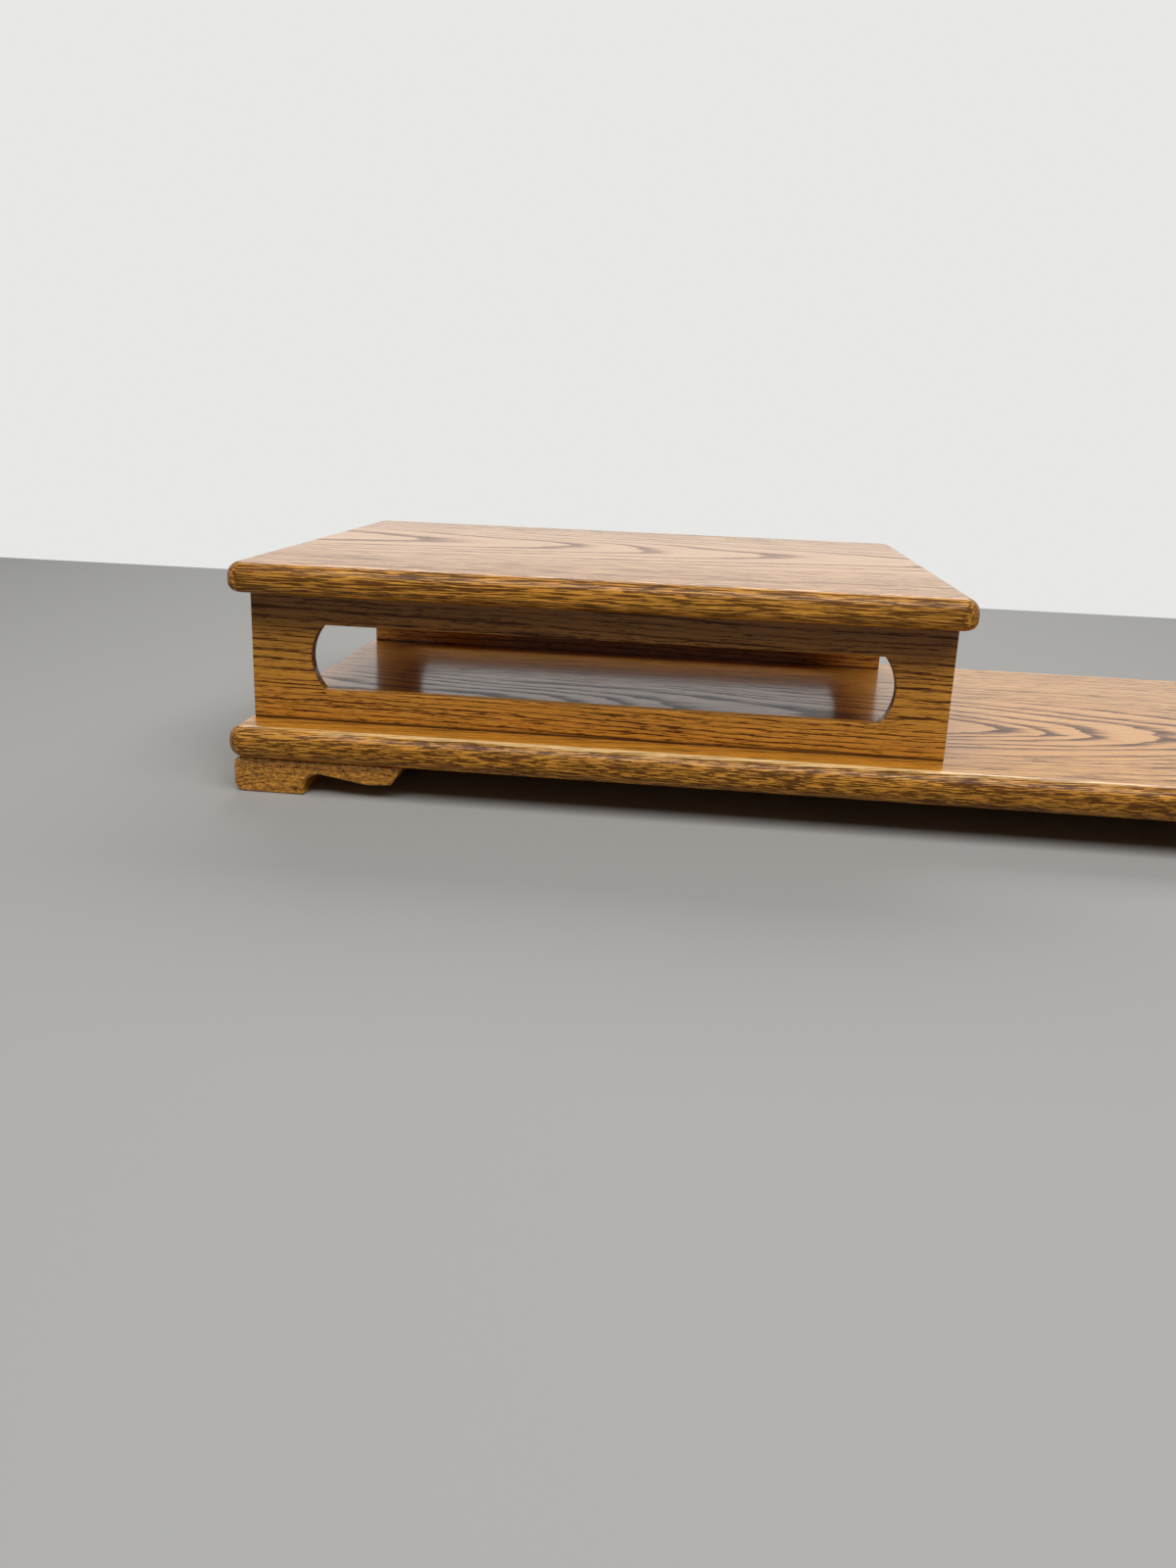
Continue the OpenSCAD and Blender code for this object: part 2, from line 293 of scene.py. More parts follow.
def painted_arris_highlight(add, coords, wood, roll):
    """Painted highlight: how strongly a pale line is laid where the front edge begins to roll, most of all before
    the tier, drawn as stain sanded through.
    """
    spot = add("ShaderNodeSeparateXYZ", {0: coords["Object"]}).outputs
    frayed = add("ShaderNodeMath", {0: wood["Fibre"], 1: 1.0}, operation="SUBTRACT")
    frayed = add("ShaderNodeMath", {0: frayed, 1: 0.8, 2: roll}, operation="MULTIPLY_ADD")
    patchy = add("ShaderNodeMath", {0: wood["Fibre"], 1: wood["Cloud"]}, operation="MULTIPLY")
    highlight_share = add("ShaderNodeMapRange", {"Value": patchy, "From Min": 0.4, "From Max": 0.52, "To Min": 0.6})
    return within(add, highlight_share, (
        (roll, 0.9995, 0.996, 0, 1),
        (frayed, 0.84, 0.92, 0, 1),
        (spot["Y"], BASE_LOW.y + 8 * MM, BASE_LOW.y + 12 * MM, 1, 0.15),
        (spot["X"], TIER_LOW.x + 10 * MM, TIER_LOW.x + 90 * MM, 0.2, 1),
        (spot["X"], TIER_HIGH.x, TIER_HIGH.x + 90 * MM, 1, 0.3)))


def panel_stain_and_shade(add, coords):
    """How much darker the panels are drawn: more stain on their end grain, dark joints, and painted shade under the
    raised board and low between the panels.
    """
    spot = add("ShaderNodeSeparateXYZ", {0: coords["Object"]}).outputs
    facing = add("ShaderNodeSeparateXYZ", {0: coords["Normal"]}).outputs
    low, high = BASE_HIGH.z, TIER_LOW.z
    middle, half_height = (low + high) / 2, (high - low) / 2
    # The cut ends of the grain, at the panels' ends and in the slot's arcs, drank more stain
    endways = add("ShaderNodeMath", {0: facing["X"]}, operation="ABSOLUTE")
    ends = add("ShaderNodeMapRange", {"Value": endways, "From Min": 0.5, "To Max": 0.75})
    # Stain and varnish gathered in the corners where the panels meet the boards
    off = add("ShaderNodeMath", {0: spot["Z"], 1: middle}, operation="SUBTRACT")
    off = add("ShaderNodeMath", {0: off}, operation="ABSOLUTE")
    corners = add("ShaderNodeMapRange", {"Value": off, "From Min": half_height - 2.4 * MM,
                                         "From Max": half_height - 0.8 * MM, "To Max": 0.9})
    # Painted shade: darker towards the raised board, where its overhang shades the panels
    under = add("ShaderNodeMapRange", {"Value": spot["Z"], "From Min": high - 36 * MM,
                                       "From Max": high - 8 * MM, "To Max": 0.72}, interpolation_type="SMOOTHSTEP")
    # Painted shade: darker low on the faces that look at each other, fading towards the open ends
    side = add("ShaderNodeMath", {0: spot["Y"], 1: facing["Y"]}, operation="MULTIPLY")
    inside = add("ShaderNodeMapRange", {"Value": side, "From Min": -50 * MM, "From Max": -100 * MM, "To Max": 0.7})
    inside = within(add, inside, (
        (spot["Z"], low + 24 * MM, low + 14 * MM, 0, 1),
        (spot["X"], FRONT_LOW.x + 40 * MM, FRONT_LOW.x + 120 * MM, 0, 1),
        (spot["X"], FRONT_HIGH.x - 20 * MM, FRONT_HIGH.x - 60 * MM, 0, 1)))
    stain_and_shade = add("ShaderNodeMath", {0: corners, 1: under}, operation="MAXIMUM")
    stain_and_shade = add("ShaderNodeMath", {0: stain_and_shade, 1: inside}, operation="MAXIMUM")
    return ends, stain_and_shade


def varnished_oak(name, place, turn, sizes, tint_share, film=0.5, flat_dashes=0.0, highlit_edge=False, joined=False):
    """Varnished oak on one kind of piece: place and turn put the figure, in mm, on Object coordinates.

    tint_share is how far the earlywood darkens, film how much varnish lies off the wide flat faces, flat_dashes
    the share of fine vessels left open on those faces, the edge flag whether the front edge gets a painted
    highlight, a pale line drawn as stain sanded through, and joined whether the piece stands between the boards,
    which gives it end grain stain, dark joints and painted shade.
    """
    oak = bpy.context.scene.stand_oak
    made = bpy.data.materials.new(name)
    add = emptied(made)
    coords = add("ShaderNodeTexCoord").outputs
    turned = add("ShaderNodeMapping", {"Vector": coords["Object"], "Rotation": turn})
    at = add("ShaderNodeMapping", {"Vector": turned, "Location": place, "Scale": (1 / MM,) * 3})
    given = {"Place": at, **sizes}
    if flat_dashes:
        roll = add("ShaderNodeAttribute", attribute_name="roll").outputs["Fac"]
        # Planing closed most of the fine vessels on the boards' flat faces; the rolled edges kept them open
        given["Dashes"] = add("ShaderNodeMapRange", {
            "Value": roll, "From Min": ROLLED, "From Max": FLAT, "To Min": sizes["Dashes"],
            "To Max": flat_dashes})
        # A brush lays more varnish on a wide flat face than on a rolled edge
        film = add("ShaderNodeMapRange", {"Value": roll, "From Min": ROLLED, "From Max": FLAT, "To Min": film})
    figure = bpy.data.node_groups.get("oak figure") or oak_figure()
    wood = add("ShaderNodeGroup", given, node_tree=figure).outputs

    tint = add("ShaderNodeMix", {MIX_SHARE: wood["Cloud"], MIX_FROM: linear("#C37B16"),
                                 MIX_TO: linear("#E2A446")}, data_type="RGBA")
    tint = add("ShaderNodeMix", {MIX_SHARE: 0.5, MIX_FROM: oak.latewood,
                                 MIX_TO: tint.outputs[MIXED]}, data_type="RGBA")
    colour = add("ShaderNodeVectorMath", {0: tint.outputs[MIXED], "Scale": wood["Fibre"]},
                 operation="SCALE").outputs[0]
    early = add("ShaderNodeMath", {0: wood["Earlywood"], 1: tint_share}, operation="MULTIPLY")
    layers, held = [(early, oak.earlywood)], PORE_STAIN
    if highlit_edge:
        # Painted highlight along the start of the base's front roll, drawn as pale cream wood sanded through the
        # stain; the pores hold less stain under it
        highlight_share = painted_arris_highlight(add, coords, wood, roll)
        layers.append((highlight_share, linear("#FFD899")))
        held = add("ShaderNodeMath", {0: highlight_share, 1: -HIGHLIGHT_PORE_CLEARING, 2: PORE_STAIN}, operation="MULTIPLY_ADD")
    pores = add("ShaderNodeMath", {0: wood["Vessels"], 1: held}, operation="MULTIPLY")
    layers.append((pores, oak.pore))
    # Panels: more stain on the end grain, dark joints, and painted shade under the raised board and low between the
    # panels
    if joined:
        layers += [(share, oak.pore) for share in panel_stain_and_shade(add, coords)]
    for share, stain in layers:
        colour = add("ShaderNodeMix", {MIX_SHARE: share, MIX_FROM: colour, MIX_TO: stain},
                     data_type="RGBA").outputs[MIXED]

    # The open vessels are hollows in the wood, which the film over it nearly levels
    hollow = add("ShaderNodeMath", {0: wood["Vessels"], 1: -1.0, 2: wood["Fibre"]}, operation="MULTIPLY_ADD")
    grain, skin = (add("ShaderNodeBump", {"Height": hollow, "Strength": strength, "Distance": 0.2 * MM})
                   for strength in (0.35, 0.07))
    # Where they are deep the film sinks in and mirrors little
    open_wood = add("ShaderNodeMath", {0: wood["Earlywood"], 1: 0.5, 2: wood["Vessels"]}, operation="MULTIPLY_ADD")
    gloss = add("ShaderNodeMapRange", {"Value": open_wood, "To Min": 1.0, "To Max": 0.4})
    gloss = add("ShaderNodeMath", {0: gloss, 1: film}, operation="MULTIPLY")
    shader = add("ShaderNodeBsdfPrincipled", {
        "Base Color": colour, "Roughness": 0.45, "Specular IOR Level": 0.06, "Coat Weight": gloss,
        "Coat Roughness": 0.15, "Coat IOR": 1.5, "Normal": grain, "Coat Normal": skin})
    add("ShaderNodeOutputMaterial", {"Surface": shader})
    return made


def zinc_plated_steel():
    """Zinc-plated steel, turned and rolled: cool grey, with a faint cloudy dullness where the zinc has dulled."""
    made = bpy.data.materials.new("zinc plated steel screws")
    add = emptied(made)
    coords = add("ShaderNodeTexCoord").outputs["Object"]
    # Clouds of about 1.1 mm
    cloud = add("ShaderNodeTexNoise", {"Vector": coords, "Scale": 900.0, "Detail": 3.0})
    tint = add("ShaderNodeMix", {MIX_SHARE: cloud, MIX_FROM: linear("#A9ABAB"),
                                 MIX_TO: linear("#C9CAC6")}, data_type="RGBA")
    rough = add("ShaderNodeMapRange", {"Value": cloud, "To Min": 0.26, "To Max": 0.44})
    shader = add("ShaderNodeBsdfPrincipled", {"Base Color": tint.outputs[MIXED], "Metallic": 1.0,
                                              "Roughness": rough})
    add("ShaderNodeOutputMaterial", {"Surface": shader})
    return made


def board_blank():
    """Slab with rounded corners, its underside's middle at Place."""
    tree, add, ask = new_group(
        "board blank", "GeometryNodeTree",
        {"Float": ["Length", "Depth", "Thickness", "Corner Radius", "Lower Round"], "Vector": ["Place"]},
        {"Geometry": ["Geometry"]})
    outline = add("GeometryNodeCurvePrimitiveQuadrilateral", {"Width": ask["Length"], "Height": ask["Depth"]})
    rounded = add("GeometryNodeFilletCurve", {"Curve": outline, "Radius": ask["Corner Radius"],
                                              "Count": 16}, mode="POLY")
    face = add("GeometryNodeFillCurve", {"Curve": rounded}, mode="NGONS")
    rise = add("ShaderNodeCombineXYZ", {"Z": ask["Thickness"]})
    raised = add("GeometryNodeExtrudeMesh", {"Mesh": face, "Offset": rise, "Offset Scale": 1.0,
                                             "Individual": False}, mode="FACES")
    under = add("GeometryNodeFlipFaces", {"Mesh": face})
    both = add("GeometryNodeJoinGeometry", {"Geometry": [raised, under]})
    closed = add("GeometryNodeMergeByDistance", {"Geometry": both, "Distance": SAME_POINT})
    # How far the edges are rolled: fully above, by the given share below and not at all on the upright ones
    height = add("GeometryNodeInputPosition")
    height = add("ShaderNodeSeparateXYZ", {0: height}).outputs["Z"]
    share = add("ShaderNodeMath", {0: height, 1: ask["Thickness"]}, operation="DIVIDE")
    rolled = add("ShaderNodeMapRange", {"Value": share, "To Min": ask["Lower Round"]})
    off = add("ShaderNodeMath", {0: share, 1: 0.5}, operation="SUBTRACT")
    off = add("ShaderNodeMath", {0: off}, operation="ABSOLUTE")
    level = add("ShaderNodeMath", {0: off, 1: 0.25}, operation="GREATER_THAN")
    weight = add("ShaderNodeMath", {0: rolled, 1: level}, operation="MULTIPLY")
    marked = add("GeometryNodeStoreNamedAttribute", {"Geometry": closed, "Name": "bevel_weight_edge",
                                                     "Value": weight}, domain="EDGE")
    put = add("GeometryNodeTransform", {"Geometry": marked, "Translation": ask["Place"]})
    add("NodeGroupOutput", {0: put})
    return tree


def panel_grooves():
    """Two stopped grooves for the panels, cut into one face of a board."""
    tree, add, ask = new_group(
        "panel grooves", "GeometryNodeTree",
        {"Geometry": ["Geometry"], "Vector": ["Groove", "First", "Step"], "Material": ["Material"]},
        {"Geometry": ["Geometry"]})
    line = add("GeometryNodeMeshLine", {"Count": 2, "Start Location": ask["First"], "Offset": ask["Step"]})
    cutter = add("GeometryNodeMeshCube", {"Size": ask["Groove"]})
    put = add("GeometryNodeInstanceOnPoints", {"Points": line, "Instance": cutter})
    real = add("GeometryNodeRealizeInstances", {"Geometry": put})
    cut = add("GeometryNodeMeshBoolean", {"Mesh 1": ask["Geometry"], "Mesh 2": real},
              operation="DIFFERENCE", solver="EXACT")
    # How far the surface has rolled over, for the finish: 1 on the flat top
    facing = add("GeometryNodeInputNormal")
    facing = add("ShaderNodeSeparateXYZ", {0: facing}).outputs["Z"]
    marked = add("GeometryNodeStoreNamedAttribute", {"Geometry": cut, "Name": "roll",
                                                     "Value": facing}, domain="FACE")
    finished = add("GeometryNodeSetMaterial", {"Geometry": marked, "Material": ask["Material"]})
    add("NodeGroupOutput", {0: finished})
    return tree


def slotted_panel():
    """Upright panel between two boards: tongues along its top and bottom, and a slot with shallow arcs for ends."""
    tree, add, ask = new_group(
        "slotted panel", "GeometryNodeTree",
        {"Vector": ["Body", "Tongued", "Centre", "Slot", "Slot Centre"], "Float": ["End Radius"],
         "Material": ["Material"]},
        {"Geometry": ["Geometry"]})
    body = add("GeometryNodeMeshCube", {"Size": ask["Body"]})
    tongued = add("GeometryNodeMeshCube", {"Size": ask["Tongued"]})
    whole = add("GeometryNodeMeshBoolean", {"Mesh 2": [body, tongued]}, operation="UNION", solver="EXACT")
    put = add("GeometryNodeTransform", {"Geometry": whole, "Translation": ask["Centre"]})
    # The slot: two drums that reach to its ends and a bar that ends within them, trimmed to its height
    slot = add("ShaderNodeSeparateXYZ", {0: ask["Slot"]}).outputs
    drum = add("GeometryNodeMeshCylinder", {"Vertices": 144, "Radius": ask["End Radius"], "Depth": slot["Y"]})
    half = add("ShaderNodeMath", {0: slot["X"], 1: 0.5}, operation="MULTIPLY")
    side = add("ShaderNodeMath", {0: half, 1: ask["End Radius"]}, operation="SUBTRACT")
    drums = []
    for sign in (-1, 1):
        along = add("ShaderNodeMath", {0: side, 1: sign}, operation="MULTIPLY")
        at = add("ShaderNodeCombineXYZ", {"X": along})
        drums.append(add("GeometryNodeTransform", {"Geometry": drum, "Translation": at,
                                                   "Rotation": (QUARTER, 0, 0)}))
    reach = add("ShaderNodeMath", {0: ask["End Radius"], 1: -1.4, 2: slot["X"]}, operation="MULTIPLY_ADD")
    bar_size = add("ShaderNodeCombineXYZ", {"X": reach, "Y": slot["Y"], "Z": slot["Z"]})
    bar = add("GeometryNodeMeshCube", {"Size": bar_size})
    joined = add("GeometryNodeMeshBoolean", {"Mesh 2": [bar, *drums]}, operation="UNION", solver="EXACT")
    wider = add("ShaderNodeVectorMath", {0: ask["Slot"], 1: (1.1, 2.0, 1.0)}, operation="MULTIPLY")
    trim = add("GeometryNodeMeshCube", {"Size": wider})
    cutter = add("GeometryNodeMeshBoolean", {"Mesh 2": [trim, joined]}, operation="INTERSECT", solver="EXACT")
    upright = add("GeometryNodeTransform", {"Geometry": cutter, "Translation": ask["Slot Centre"]})
    cut = add("GeometryNodeMeshBoolean", {"Mesh 1": put, "Mesh 2": upright},
              operation="DIFFERENCE", solver="EXACT")
    finished = add("GeometryNodeSetMaterial", {"Geometry": cut, "Material": ask["Material"]})
    add("NodeGroupOutput", {0: finished})
    return tree


def threaded_screws():
    """Six countersunk wood screws, heads down, in two rows of three."""
    tree, add, ask = new_group(
        "runner screws", "GeometryNodeTree",
        {"Float": ["Shank", "Head", "Length", "Pitch"], "Vector": ["First", "Step", "Across"],
         "Material": ["Material"]},
        {"Geometry": ["Geometry"]})
    # The core within the thread is a little thinner than three quarters of the shank
    head_radius, shank_radius, core_radius = (
        add("ShaderNodeMath", {0: ask[part], 1: share}, operation="MULTIPLY")
        for part, share in (("Head", 0.5), ("Shank", 0.5), ("Shank", 0.36)))
    point_height, drive_depth = 4 * MM, 1.8 * MM
    head_height = add("ShaderNodeMath", {0: head_radius, 1: shank_radius}, operation="SUBTRACT")
    shoulder = add("ShaderNodeMath", {0: head_height, 1: SCREW_RIM}, operation="ADD")
    point_start = add("ShaderNodeMath", {0: ask["Length"], 1: point_height}, operation="SUBTRACT")
    core_length = add("ShaderNodeMath", {0: point_start, 1: shoulder}, operation="SUBTRACT")

    rim = add("GeometryNodeMeshCylinder", {"Vertices": 40, "Radius": head_radius, "Depth": SCREW_RIM})
    bodies = [add("GeometryNodeTransform", {"Geometry": rim, "Translation": (0, 0, SCREW_RIM / 2)})]
    for vertices, low_radius, high_radius, depth, height in (
            (40, head_radius, shank_radius, head_height, SCREW_RIM),
            (24, core_radius, core_radius, core_length, shoulder),
            (24, core_radius, 0.0, point_height, point_start)):
        cone = add("GeometryNodeMeshCone", {"Vertices": vertices, "Radius Bottom": low_radius,
                                            "Radius Top": high_radius, "Depth": depth})
        at = add("ShaderNodeCombineXYZ", {"Z": height})
        bodies.append(add("GeometryNodeTransform", {"Geometry": cone, "Translation": at}))
    solid = add("GeometryNodeMeshBoolean", {"Mesh 2": bodies}, operation="UNION", solver="EXACT")

    # The cross for the driver: two bars that meet in the middle of the head
    bar = add("GeometryNodeMeshCube", {"Size": (4.4 * MM, 1.1 * MM, 2 * drive_depth)})
    other = add("GeometryNodeTransform", {"Geometry": bar, "Rotation": (0, 0, QUARTER)})
    drive = add("GeometryNodeMeshBoolean", {"Mesh 1": solid, "Mesh 2": [bar, other]},
                operation="DIFFERENCE", solver="EXACT")

    # The thread: a ridge with three sides that winds up the core and runs out at the point
    turns = add("ShaderNodeMath", {0: core_length, 1: ask["Pitch"]}, operation="DIVIDE")
    helix = add("GeometryNodeCurveSpiral", {"Resolution": 20, "Rotations": turns,
                                            "Start Radius": core_radius, "End Radius": core_radius,
                                            "Height": core_length})
    at = add("ShaderNodeCombineXYZ", {"Z": shoulder})
    helix = add("GeometryNodeTransform", {"Geometry": helix, "Translation": at})
    ridge = add("ShaderNodeMath", {0: shank_radius, 1: core_radius}, operation="SUBTRACT")
    ring = add("GeometryNodeCurvePrimitiveCircle", {"Resolution": 4, "Radius": ridge})
    wound = add("GeometryNodeCurveToMesh", {"Curve": helix, "Profile Curve": ring, "Fill Caps": True})
    screw = add("GeometryNodeJoinGeometry", {"Geometry": [drive, wound]})

    row = add("GeometryNodeMeshLine", {"Count": 3, "Start Location": ask["First"], "Offset": ask["Step"]})
    far = add("GeometryNodeTransform", {"Geometry": row, "Translation": ask["Across"]})
    rows = add("GeometryNodeJoinGeometry", {"Geometry": [row, far]})
    put = add("GeometryNodeInstanceOnPoints", {"Points": rows, "Instance": screw})
    real = add("GeometryNodeRealizeInstances", {"Geometry": put})
    finished = add("GeometryNodeSetMaterial", {"Geometry": real, "Material": ask["Material"]})
    add("NodeGroupOutput", {0: finished})
    return tree


def grow(obj, tree, inputs):
    """Adds a Geometry Nodes modifier and sets its named inputs by their identifiers."""
    made = obj.modifiers.new(tree.name, "NODES")
    made.node_group = tree
    names = {s.name: s.identifier for s in tree.interface.items_tree if s.in_out == "INPUT"}
    for key, value in inputs.items():
        made[names[key]] = value


def new_object(name, data=None):
    """Adds an object to the scene, with an empty mesh of its own if it is given no data."""
    made = bpy.data.objects.new(name, data or bpy.data.meshes.new(name))
    bpy.context.scene.collection.objects.link(made)
    return made


def apply_modifiers(obj):
    """Turns what an object's modifiers make into its mesh."""
    graph = bpy.context.evaluated_depsgraph_get()
    graph.update()
    old, obj.data = obj.data, bpy.data.meshes.new_from_object(obj.evaluated_get(graph))
    obj.modifiers.clear()
    bpy.data.meshes.remove(old)
    obj.data.name = obj.name


def finish_piece(obj, node, smooth_angle=50):
    """Makes a piece a plain mesh with sharp edges above an angle in degrees, hangs it under the root and hides the
    model's part that it stands in for.
    """
    apply_modifiers(obj)
    if not obj.data.polygons:
        raise RuntimeError(f"{obj.name} came out empty")
    obj.data.shade_smooth()
    obj.data.set_sharp_from_angle(angle=math.radians(smooth_angle))
    # Wide flat faces keep their own direction, so that they mirror the room without a ripple
    evener = obj.modifiers.new("even shading", "WEIGHTED_NORMAL")
    evener.mode, evener.weight, evener.keep_sharp = "FACE_AREA", 100, True
    apply_modifiers(obj)
    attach(obj, "root")
    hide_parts(node)


def oak_material(name):
    """The oak of one kind of piece, made when it is first asked for."""
    if name in bpy.data.materials:
        return bpy.data.materials[name]
    board = {"Streak": (26, 0.8, 0.8), "Dash": (18, 0.6, 0.6), "Wander": 3.0, "Ripple": 1.5, "Band": 0.75,
             "Filling": 0.78, "Strays": 0.06, "Dashes": 0.6, "Fine": 0.16, "Edge Fade": 0.6,
             "Fibre Size": (50, 0.8, 0.8), "Fibre Contrast": 0.17}
    panel = {"Streak": (18, 0.7, 0.7), "Dash": (11, 0.6, 0.6), "Ring Width": 3.6, "Taper": 0.015,
             "Wander": 2.5, "Ripple": 3.0, "Band": 0.5, "Filling": 0.72, "Strays": 0.12, "Dashes": 0.3,
             "Fine": 0.3, "Edge Fade": 0.0, "Fibre Size": (50, 0.8, 0.8), "Fibre Contrast": 0.2}
    runner = {"Streak": (24, 1.6, 0.9), "Dash": (14, 1.0, 0.5), "Ring Width": 3.4, "Taper": 0.03,
              "Wander": 6.0, "Ripple": 1.5, "Band": 0.7, "Filling": 0.35, "Strays": 0.1, "Dashes": 0.34,
              "Fine": 0.34, "Edge Fade": 0.5, "Fibre Size": (30, 3.0, 1.0), "Fibre Contrast": 0.6}
    makes = {
        # Plain-sawn oak, planed, stained and brushed with gloss varnish. It gives wide dark arches, which point
        # right on both boards, under a shine that turns milky where it mirrors the pale room, and rolled edges
        # full of short dark dashes
        # The base also gets a painted highlight: a pale line along the start of its front roll
        "varnished plain sawn oak base": {
            "place": (0, 36.5, 110.5), "turn": (0, 0, -0.05), "tint_share": 0.7, "flat_dashes": 0.34,
            "highlit_edge": True, "sizes": {**board, "Ring Width": 3.1, "Taper": 0.056}},
        "varnished plain sawn oak tier": {
            "place": (0, -18, 66.5), "turn": (0, 0, 0), "tint_share": 0.6, "flat_dashes": 0.48,
            "sizes": {**board, "Ring Width": 3.9, "Taper": 0.045, "Wander": 1.6, "Ripple": 1.0, "Band": 0.55,
                      "Filling": 0.66}},
        # Narrow boards sawn well off the middle of the tree, with the same finish. They give straight, broken
        # dark lines on golden brown, darker at the cut ends, with painted shade under the raised board and low
        # between the panels
        "varnished rift sawn oak panels": {
            "place": (0, -150, 0), "turn": (QUARTER, 0, 0), "sizes": panel, "tint_share": 0.5, "joined": True},
        # Short pieces, scroll-sawn along the stand's depth, with the same finish. Their fronts are end grain,
        # which gives fine mottled flecks on an even yellow brown
        "varnished end grain oak left": {
            "place": (40, -327, 160), "turn": (0, 0, -QUARTER), "sizes": runner, "tint_share": 0.5, "film": 1.0},
        "varnished end grain oak right": {
            "place": (40, 327, 160), "turn": (0, 0, -QUARTER), "sizes": runner, "tint_share": 0.5, "film": 1.0},
    }
    return varnished_oak(name, **makes[name])


class STAND_OT_boards(bpy.types.Operator):
    """Makes the base board and the raised board, with rolled edges and the grooves for the panels"""
    bl_idname = "stand.boards"
    bl_label = "Boards"

    def execute(self, context):
        boards, panels = context.scene.stand_boards, context.scene.stand_panels
        blank, grooves = board_blank(), panel_grooves()
        side_gap, end_gap, clear_cut = 0.1 * MM, 0.5 * MM, 1 * MM
        depth = panels.tongue + end_gap
        groove = Vector((FRONT_HIGH.x - FRONT_LOW.x - 2 * panels.shoulder + 2 * end_gap,
                         FRONT_HIGH.y - FRONT_LOW.y + 2 * side_gap, depth + clear_cut))
        middle_x = (FRONT_LOW.x + FRONT_HIGH.x) / 2
        front_y, rear_y = (FRONT_LOW.y + FRONT_HIGH.y) / 2, (REAR_LOW.y + REAR_HIGH.y) / 2
        for name, node, low, high, groove_z, under, finish in (
                ("base_board_planed", "base_board", BASE_LOW, BASE_HIGH, BASE_HIGH.z + (clear_cut - depth) / 2,
                 boards.edge_radius, "varnished plain sawn oak base"),
                ("top_board_planed", "top_board", TIER_LOW, TIER_HIGH, TIER_LOW.z + (depth - clear_cut) / 2,
                 boards.under_radius, "varnished plain sawn oak tier")):
            board = new_object(name)
            size, middle = high - low, (low + high) / 2
            grow(board, blank, {"Length": size.x, "Depth": size.y, "Thickness": size.z,
                                "Corner Radius": boards.corner_radius,
                                "Lower Round": min(1.0, under / boards.edge_radius),
                                "Place": (middle.x, middle.y, low.z)})
            roll = board.modifiers.new("rolled edge", "BEVEL")
            roll.width, roll.segments, roll.limit_method = boards.edge_radius, 12, "WEIGHT"
            grow(board, grooves, {"Groove": groove, "First": (middle_x, front_y, groove_z),
                                  "Step": (0, rear_y - front_y, 0), "Material": oak_material(finish)})
            finish_piece(board, node)
        return {"FINISHED"}


class STAND_OT_panels(bpy.types.Operator):
    """Makes the two slotted panels that carry the raised board"""
    bl_idname = "stand.panels"
    bl_label = "Panels"

    def execute(self, context):
        panels = context.scene.stand_panels
        tree = slotted_panel()
        for name, node, low, high in (("front_panel_sawn", "front_panel", FRONT_LOW, FRONT_HIGH),
                                      ("rear_panel_sawn", "rear_panel", REAR_LOW, REAR_HIGH)):
            panel = new_object(name)
            size, middle = high - low, (low + high) / 2
            slot_left, slot_right = low.x + panels.left_stile, high.x - panels.right_stile
            slot_z = low.z + panels.tongue + panels.slot_sill + panels.slot_height / 2
            grow(panel, tree, {
                "Body": (size.x, size.y, size.z - 2 * panels.tongue),
                "Tongued": (size.x - 2 * panels.shoulder, size.y, size.z), "Centre": middle,
                "Slot": (slot_right - slot_left, 2 * size.y, panels.slot_height), "End Radius": panels.slot_end,
                "Slot Centre": ((slot_left + slot_right) / 2, middle.y, slot_z),
                "Material": oak_material("varnished rift sawn oak panels")})
            # Sandpaper takes the sharpness off the edges
            arris = panel.modifiers.new("arris", "BEVEL")
            arris.width, arris.segments, arris.miter_outer = panels.arris, 3, "MITER_ARC"
            arris.limit_method, arris.angle_limit = "ANGLE", math.radians(40)
            finish_piece(panel, node)
        return {"FINISHED"}


def corner_arc(before, corner, after, radius, inset, steps=8):
    """Points of the arc that rounds a corner of a clockwise outline, moved inwards by an inset."""
    back, onward = (before - corner).normalized(), (after - corner).normalized()
    half = back.angle(onward) / 2
    centre = corner + (back + onward).normalized() * radius / math.sin(half)
    start = corner + back * radius / math.tan(half) - centre
    outward = 1 if back.x * onward.y > back.y * onward.x else -1
    start *= (radius - outward * inset) / radius
    turn = -outward * (math.pi - 2 * half)
    return [centre + Matrix.Rotation(turn * i / steps, 2) @ start for i in range(steps + 1)]


def scroll_outline(settings, inset):
    """Outline of a runner seen from the front: its outer end at x = 0 and the floor at y = 0."""
    height = RUNNER_HIGH.z - RUNNER_LOW.z
    pad, width, lean, belly_run, slant = settings.pad_width, settings.length, 0.5 * MM, 38 * MM, 6.5 * MM
    corners = [Vector(c) for c in (
        (0, 0), (0, height), (width, height), (width - slant, height - settings.tip),
        (pad + belly_run, height - settings.belly), (pad - lean, height - settings.neck), (pad, 0))]
    # The rounding of the same corners in turn
    radii = [settings.pad_radius] + [r * MM for r in (4, 1.6, 2.5, 24, 9, 1.6)]
    points = []
    for i, radius in enumerate(radii):
        points += corner_arc(corners[i - 1], corners[i], corners[(i + 1) % len(corners)], radius, inset)
    return points


